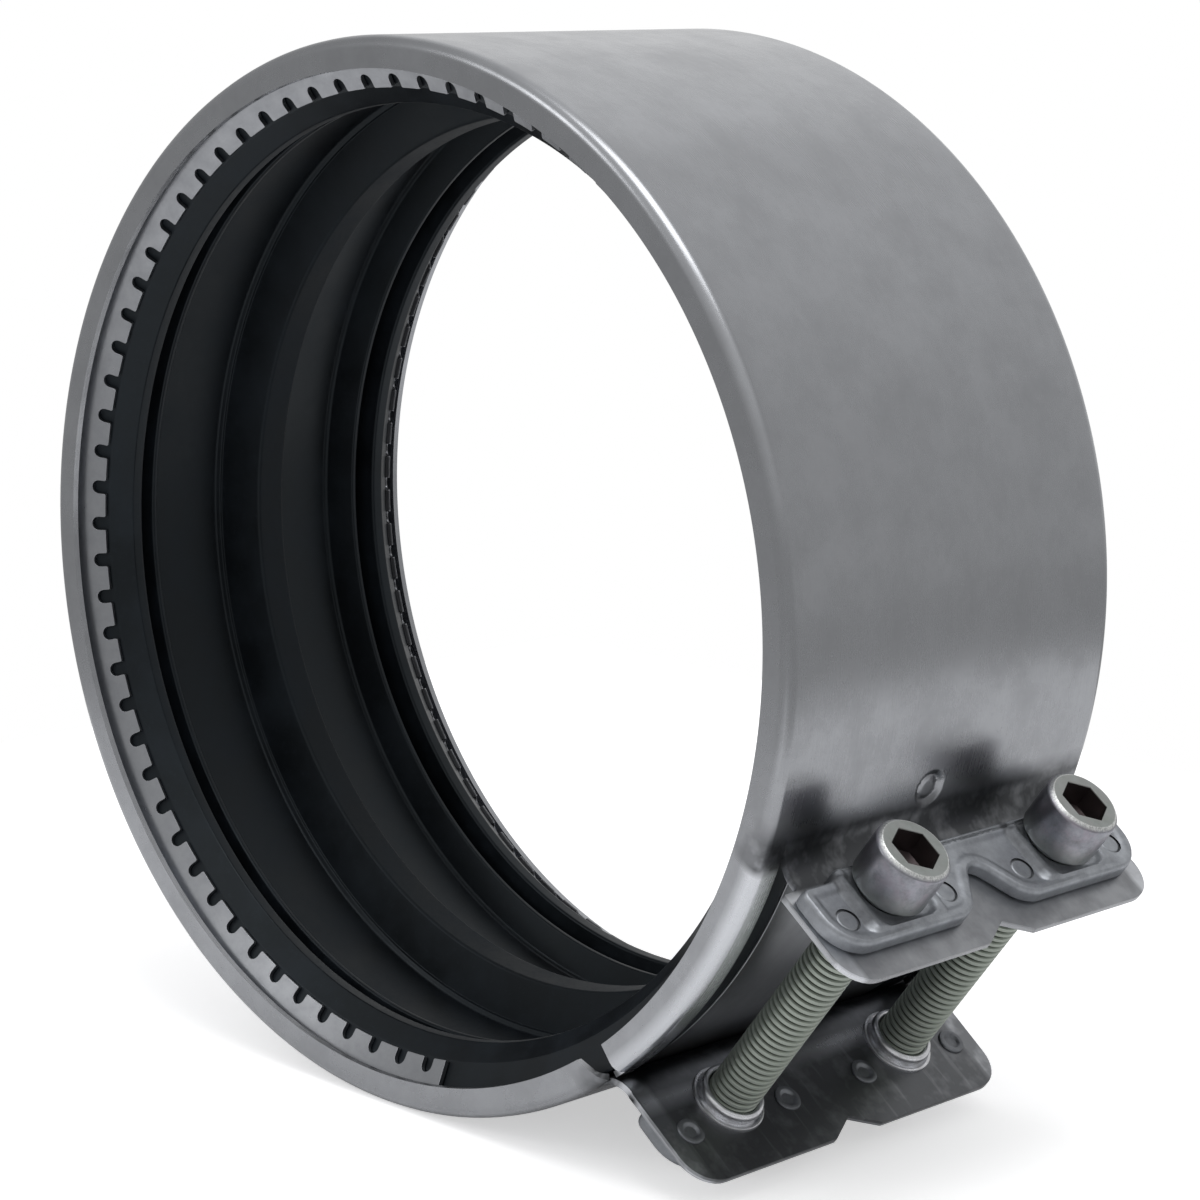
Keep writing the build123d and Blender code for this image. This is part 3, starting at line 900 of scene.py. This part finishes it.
# %% [markdown]
# ## The brackets
#
# Each bracket is a stamped plate with a raised rib bent round each screw in a U, and a clinch point
# on each side of the screw. The plate's outline is filled, its upper edge is rounded by three narrow
# insets that step up a quarter circle, and its top is then cut into a fine grid. A height for each
# point of that grid, worked out from the distance to the rib's outline and to the plate's edge,
# presses up the ribs and a low border with soft shoulders, as a die does. The clinch points, a flat
# disc in a groove outside and a round button on the lug's inner face, are lathe work.

# %% Brackets: sizes
bracket_inner = casing_radius + 1.4
bracket_outer = casing_radius + 21.3
bracket_half = half_width - 3.0
bracket_step = 2.6
bracket_end = 10.5
bracket_corner = 9.5
bracket_notch = 9.8
bracket_notch_depth = 14.4
bracket_notch_tip = 4.0
bracket_notch_shoulder = 8.0
bracket_round = 0.8
bracket_lift = 0.55
border_height = 0.55
border_width = 3.6
border_slope = 1.6
rib_height = 1.35
rib_width = 5.2
rib_margin = 0.9
rib_shoulder = 2.2
rib_bar = 2.9
rib_corner = 2.6
pocket_half = 7.8
pocket_corner = 2.2
mark_radius = 3.0
button_radius = 3.4
grid = 0.5
print(f"a bracket is {bracket_outer - bracket_inner:.1f} by {2 * bracket_half:.1f} mm")


# %% Brackets: heights
def box_distance(x, y, low, high, half, corner):
    """How far a point is outside a rounded box from low to high in x and half each way in y."""
    dx = abs(x - (low + high) / 2) - (high - low) / 2 + corner
    dy = abs(y) - half + corner
    outside = sqrt(max(dx, 0) ** 2 + max(dy, 0) ** 2)
    return outside + min(max(dx, dy), 0) - corner


def nearest(points):
    """A search tree that finds the nearest of the points."""
    tree = KDTree(len(points))
    for index, point in enumerate(points):
        tree.insert(point, index)
    tree.balance()
    return tree


def ease(value):
    """A soft step from 0 to 1."""
    value = min(max(value, 0), 1)
    return value * value * (3 - 2 * value)


def pressed(x, y, inside):
    """How high the die presses up a point that lies this far inside the plate's outline."""
    across = abs(y) - screw_side
    low, high = bracket_inner + rib_margin, bracket_outer - rib_margin
    rib = box_distance(x, across, low, high, pocket_half + rib_width, rib_corner)
    pocket = box_distance(x, across, low - 20, high - rib_bar, pocket_half, pocket_corner)
    ribs = rib_height * ease(-max(rib, -pocket) / rib_shoulder)
    border = ease((border_width - inside) / border_slope) * ease((pocket + 1) / 1.5)
    return max(ribs, border_height * border)


# %% Brackets: blank, rounded edge and grid
bracket_top = plate_top - bracket_round
bracket_half_outline = [
    (bracket_inner, bracket_half - bracket_end - bracket_step, bracket_top, bracket_step),
    (bracket_inner + bracket_step, bracket_half - bracket_end, bracket_top, bracket_step),
    (bracket_inner + bracket_step, bracket_half, bracket_top, bracket_step),
    (bracket_outer, bracket_half, bracket_top, bracket_corner),
    (bracket_outer, bracket_notch, bracket_top, bracket_notch_shoulder),
]
notch_tip = (bracket_outer - bracket_notch_depth, 0, bracket_top, bracket_notch_tip)


def inset_step(plate, faces, inward, rise):
    """Inset a region and shift it up, both in millimetres, which leaves a bevel round it."""
    bmesh.ops.inset_region(plate, faces=faces, thickness=inward * mm, depth=0, use_even_offset=True)
    move(plate, list(verts_of(faces)), z=rise)


def blank(plate, hole_radius):
    """The plate with its holes, walls and bevelled underside; return its top faces and its border."""
    draw(plate, mirrored(bracket_half_outline, [notch_tip]), close=True)
    border = nearest([edge.verts[0].co.lerp(edge.verts[1].co, share / 40) for edge in plate.edges
                      for share in range(40)])
    holes(plate, screw_spots, hole_radius, bracket_top)
    rim = plate.edges[:]
    holes(plate, clinch_spots, mark_radius, bracket_top)
    top_faces = fill_flat(plate, bracket_top)
    walls = bmesh.ops.extrude_edge_only(plate, edges=rim)["geom"]
    move(plate, only("Vert", walls), z=lug_outer + bracket_lift - bracket_top)
    inset_step(plate, fill_flat(plate, lug_outer + bracket_lift), bracket_lift, -bracket_lift)
    if top_faces[0].normal.z < 0:
        bmesh.ops.reverse_faces(plate, faces=top_faces)
    return top_faces, border


def round_edge(plate, faces):
    """Step the top faces in and up a quarter circle."""
    for turn in (0, 30, 60):
        one, two = radians(turn), radians(turn + 30)
        inset_step(plate, faces, (cos(one) - cos(two)) * bracket_round,
                   (sin(two) - sin(one)) * bracket_round)


def cut_grid(plate, faces):
    """Cut the top faces into squares."""
    geom = with_rims(faces)
    for axis, low, high in (((1, 0, 0), bracket_inner, bracket_outer),
                            ((0, 1, 0), -bracket_half, bracket_half)):
        for step in range(1, int((high - low) / grid)):
            cut = bmesh.ops.bisect_plane(plate, geom=geom, dist=1e-7, plane_no=axis,
                                         plane_co=Vector(axis) * (low + step * grid) * mm)
            geom = cut["geom"]


# %% Brackets: the plates
def clinch(plate, x, y):
    """A clinch point: a flat disc in a groove outside, and a round button on the lug's inner face."""
    groove, flat = bracket_top + 0.35, plate_top - 0.1
    stand = lug_inner - 0.6
    disc = [(mark_radius + 0.3, groove, 0), (mark_radius - 0.2, groove, 0.2),
            (mark_radius - 0.6, flat, 0.3), (0, flat, 0)]
    button = [(0, lug_outer - 0.2, 0), (2.55, lug_outer - 0.2, 0), (2.55, lug_inner + 0.1, 0),
              (button_radius, lug_inner + 0.05, 0.2), (button_radius, stand, 0.5), (2.2, stand, 0.4),
              (1.6, stand + 0.6, 0.4), (0, stand + 0.6, 0)]
    for profile in (disc, button):
        move(plate, lathe(plate, profile, 40, close=False), x=x, y=y)


def bracket(name, side, hole_radius, node):
    """Stamp a plate, and turn it over where it belongs to the lower lug."""
    plate = bmesh.new()
    top_faces, border = blank(plate, hole_radius)
    round_edge(plate, top_faces)
    cut_grid(plate, top_faces)
    for vert in plate.verts:
        rise = min((vert.co.z / mm - bracket_top) / bracket_round, 1)
        if rise > 0:
            inside = border.find((vert.co.x, vert.co.y, bracket_top * mm))[2] / mm
            vert.co.z += pressed(vert.co.x / mm, vert.co.y / mm, inside) * rise * mm
    bmesh.ops.recalc_face_normals(plate, faces=plate.faces)
    for x, y in clinch_spots:
        clinch(plate, x, y)
    if side < 0:
        bmesh.ops.scale(plate, vec=(1, 1, -1), verts=plate.verts)
        bmesh.ops.reverse_faces(plate, faces=plate.faces)
    add_piece(name, plate, bracket_steel, "bracket_steel", [node])


bracket("bracket_upper_plate", 1, screw_hole, "upper_bracket")
bracket("bracket_lower_plate", -1, collar_hole, "lower_bracket")

# %% [markdown]
# ## The screws
#
# A thread is a spin that climbs. One pitch of its profile is spun with a small step along the axis
# each time, so that after a full turn it meets its own start. That turn is copied up by its own
# length, then both by twice that, and merging the doubles makes one skin of it. The head is turned
# on the lathe, and its open middle is drawn down into the hexagon of the socket by moving each point
# of a circle onto the hexagon's side.

# %% Screws: thread
pitch = 1.75
screw_tip = seat_height - 90.0
turn_steps = 40
thread_profile = [(thread_root, 0, 0), (thread_root, 0.06, 0), (screw_radius, 0.24, 0.15),
                  (screw_radius, 0.76, 0.15), (thread_root, 0.94, 0), (thread_root, 1, 0)]


def thread(bm, low, high):
    """A right-hand thread between two heights, chamfered at its lower end."""
    before = set(bm.verts)
    draw(bm, [(radius, 0, low + (share - 1) * pitch, rounding)
              for radius, share, rounding in thread_profile])
    verts, edges, _ = added(bm, before)
    bmesh.ops.spin(bm, geom=verts + edges, cent=(0, 0, 0), axis=(0, 0, 1), angle=full_turn,
                   steps=turn_steps, dvec=(0, 0, pitch / turn_steps * mm))
    turns = 1
    while turns * pitch < high - low + 2 * pitch:
        copy = bmesh.ops.duplicate(bm, geom=sum(added(bm, before), []))["geom"]
        move(bm, only("Vert", copy), z=turns * pitch)
        turns *= 2
    bmesh.ops.remove_doubles(bm, verts=added(bm, before)[0], dist=0.002 * mm)
    for height, normal in ((low, -1), (high, 1)):
        bmesh.ops.bisect_plane(bm, geom=sum(added(bm, before), []), dist=1e-8,
                               plane_co=(0, 0, height * mm), plane_no=(0, 0, normal), clear_outer=True)
    for vert in added(bm, before)[0]:
        limit = thread_root - 0.6 + max(vert.co.z / mm - low, 0)
        share = min(limit * mm / vert.co.xy.length, 1)
        vert.co.x *= share
        vert.co.y *= share
    fill_flat(bm, low)


# %% Screws: head and socket
socket_flat = 5.0
socket_depth = 6.0
socket_mouth = socket_flat * 1.21
socket_rows = ((0, 1.045), (0.3, 1), (socket_depth, 1), (socket_depth + 1.2, 0.1))


def screw(end, y):
    """A socket head screw, whose thread stands on the solid's plain shank."""
    body = bmesh.new()
    lathe(body, [(socket_mouth, head_top, 0), (head_radius - 1, head_top, 0.5),
                 (head_radius, head_top - 1, 0.7), (head_radius, seat_height, 0.5),
                 (screw_radius - 0.5, seat_height, 0)], 72, close=False)
    loop = [edge for edge in body.edges
            if edge.is_boundary and edge.verts[0].co.z > (head_top - 1) * mm]
    for drop, shape in socket_rows:
        made = bmesh.ops.extrude_edge_only(body, edges=loop)["geom"]
        loop = only("Edge", made)
        for vert in verts_of(loop):
            angle = atan2(vert.co.y, vert.co.x)
            radius = socket_flat * shape / cos(angle % (pi / 3) - pi / 6)
            vert.co = Vector((cos(angle) * radius, sin(angle) * radius, head_top - drop)) * mm
    bmesh.ops.holes_fill(body, edges=loop, sides=0)
    thread(body, screw_tip, seat_height + 0.3)
    bmesh.ops.recalc_face_normals(body, faces=body.faces)
    move(body, body.verts, x=screw_place, y=y)
    add_piece(f"screw_{end}_body", body, screw_zinc, "screw_zinc", [f"screw_{end}"],
              f"screw_{end}")


for end, y in screw_places:
    screw(end, y)

# %% [markdown]
# ## Washers and nuts
#
# These are plain lathe work. A nut is pressed into the lower lug: its collar stands up round the
# screw on the gap's side, rolled over at the lug in a bead.

# %% Washers and nuts
washer_radius = 7.2
washer_bore = screw_radius + 0.1
washer_profile = [(washer_bore, plate_top, 0), (washer_radius, plate_top, 0.3),
                  (washer_radius, seat_height, 0.3), (washer_bore, seat_height, 0)]
nut_radius = 9.75
nut_bore = screw_radius + 0.05
nut_end = -seat_height - 8.5
nut_profile = [(nut_bore, nut_end, 0.4), (nut_radius, nut_end, 1.4), (nut_radius, -seat_height, 0.7),
               (7.3, -seat_height, 0), (7.3, -34.2, 0), (9.0, -34.1, 0), (9.0, -33.3, 0.35),
               (8.3, -33.3, 0.3), (7.0, -33.8, 0.2), (7.0, -32.6, 0.3), (7.8, -32.4, 0.3),
               (7.8, -30.6, 0.9), (nut_bore, -30.6, 0.8)]


def turned_piece(name, profile, y, *rest):
    """A closed profile turned about the screw at y."""
    body = bmesh.new()
    lathe(body, profile)
    bmesh.ops.recalc_face_normals(body, faces=body.faces)
    move(body, body.verts, x=screw_place, y=y)
    add_piece(name, body, *rest)


for end, y in screw_places:
    turned_piece(f"washer_{end}_ring", washer_profile, y, washer_steel, "washer_steel",
                 [f"washer_{end}"], f"washer_{end}")
    turned_piece(f"nut_{end}_press", nut_profile, y, nut_zinc, "nut_zinc", [f"nut_{end}"])

# %% [markdown]
# ## Floor and studio
#
# Steel shows its surroundings more than its own colour, so the studio is built the way the casing
# shows it. The coupling stands in the middle of a pale table under one large soft box. Behind it
# hangs a white sheet with a few soft steps in it, and the room in front and below the table's edge
# is a dimmer grey. Diffuse rays see a plain pale room, so the pattern puts no extra light on the
# object, and the camera sees pure white. The table glows a little for the camera alone, so that it
# is as white as the backdrop and still keeps the coupling's shadow.

# %% Table
table_half = 0.36
table_mesh = bpy.data.meshes.new("table")
table_bm = bmesh.new()
bmesh.ops.create_grid(table_bm, x_segments=1, y_segments=1, size=table_half)
bmesh.ops.translate(table_bm, verts=table_bm.verts, vec=(0, 0, cad_box[0].z))
table_bm.to_mesh(table_mesh)
table_bm.free()
table = show("table", table_mesh)
pale = Finish("pale_table", roughness=0.9)
pale.set({
    "Base Color": (0.86, 0.86, 0.87, 1),
    "Emission Color": (1, 1, 1, 1),
    "Emission Strength": pale.mirror_or_camera() * 0.08 + pale.camera_ray() * 0.42,
})
table_mesh.materials.append(pale.material)

# %% Studio
room_grey = 0.42
diffuse_light = 0.7
world = bpy.data.worlds.new("studio")
bpy.context.scene.world = world
studio = Network(world)
direction = studio.node("TexCoord", {}, {}, "Generated")
x, y, z = [studio.node("SeparateXYZ", {}, {0: direction}, axis) for axis in range(3)]
room = room_grey + z.band(0.1, 0.6) * x.band(-0.75, -0.3) * 0.33
backdrop = 0.90 - x.band(-0.28, -0.12) * 0.22 + x.band(-0.12, 0.0) * 0.07
backdrop = backdrop - x.band(0.05, 0.3) * 0.09 - x.band(0.38, 0.6) * 0.14
backdrop = room + x.band(-0.9, -0.68) * (backdrop - room)
glow = room + y.band(0.05, 0.5) * (backdrop - room)
glow = room_grey + z.band(-0.16, -0.02) * (glow - room_grey)
shown = studio.camera_ray() + (1 - studio.camera_ray()) * glow
lit = studio.mirror_or_camera()
background = studio.tree.nodes["Background"]
plug(studio.tree, background.inputs["Color"], (1, 1, 1, 1))
plug(studio.tree, background.inputs["Strength"], lit * shown + (1 - lit) * diffuse_light)


# %% Soft boxes and view
def lamp(name, place, size, power):
    """A square soft box that looks at the coupling."""
    light = bpy.data.lights.new(name, "AREA")
    light.shape, light.size, light.energy = "SQUARE", size, power
    holder = show(name, light)
    holder.location = place
    holder.rotation_euler = (-Vector(place)).to_track_quat("-Z", "Y").to_euler()


lamp("key", (0.38, -0.2, 1.4), 0.85, 6.5)
lamp("fill", (-0.7, -1.3, 0.9), 0.5, 2.0)

bpy.context.scene.view_settings.view_transform = "Standard"
print("stage set")
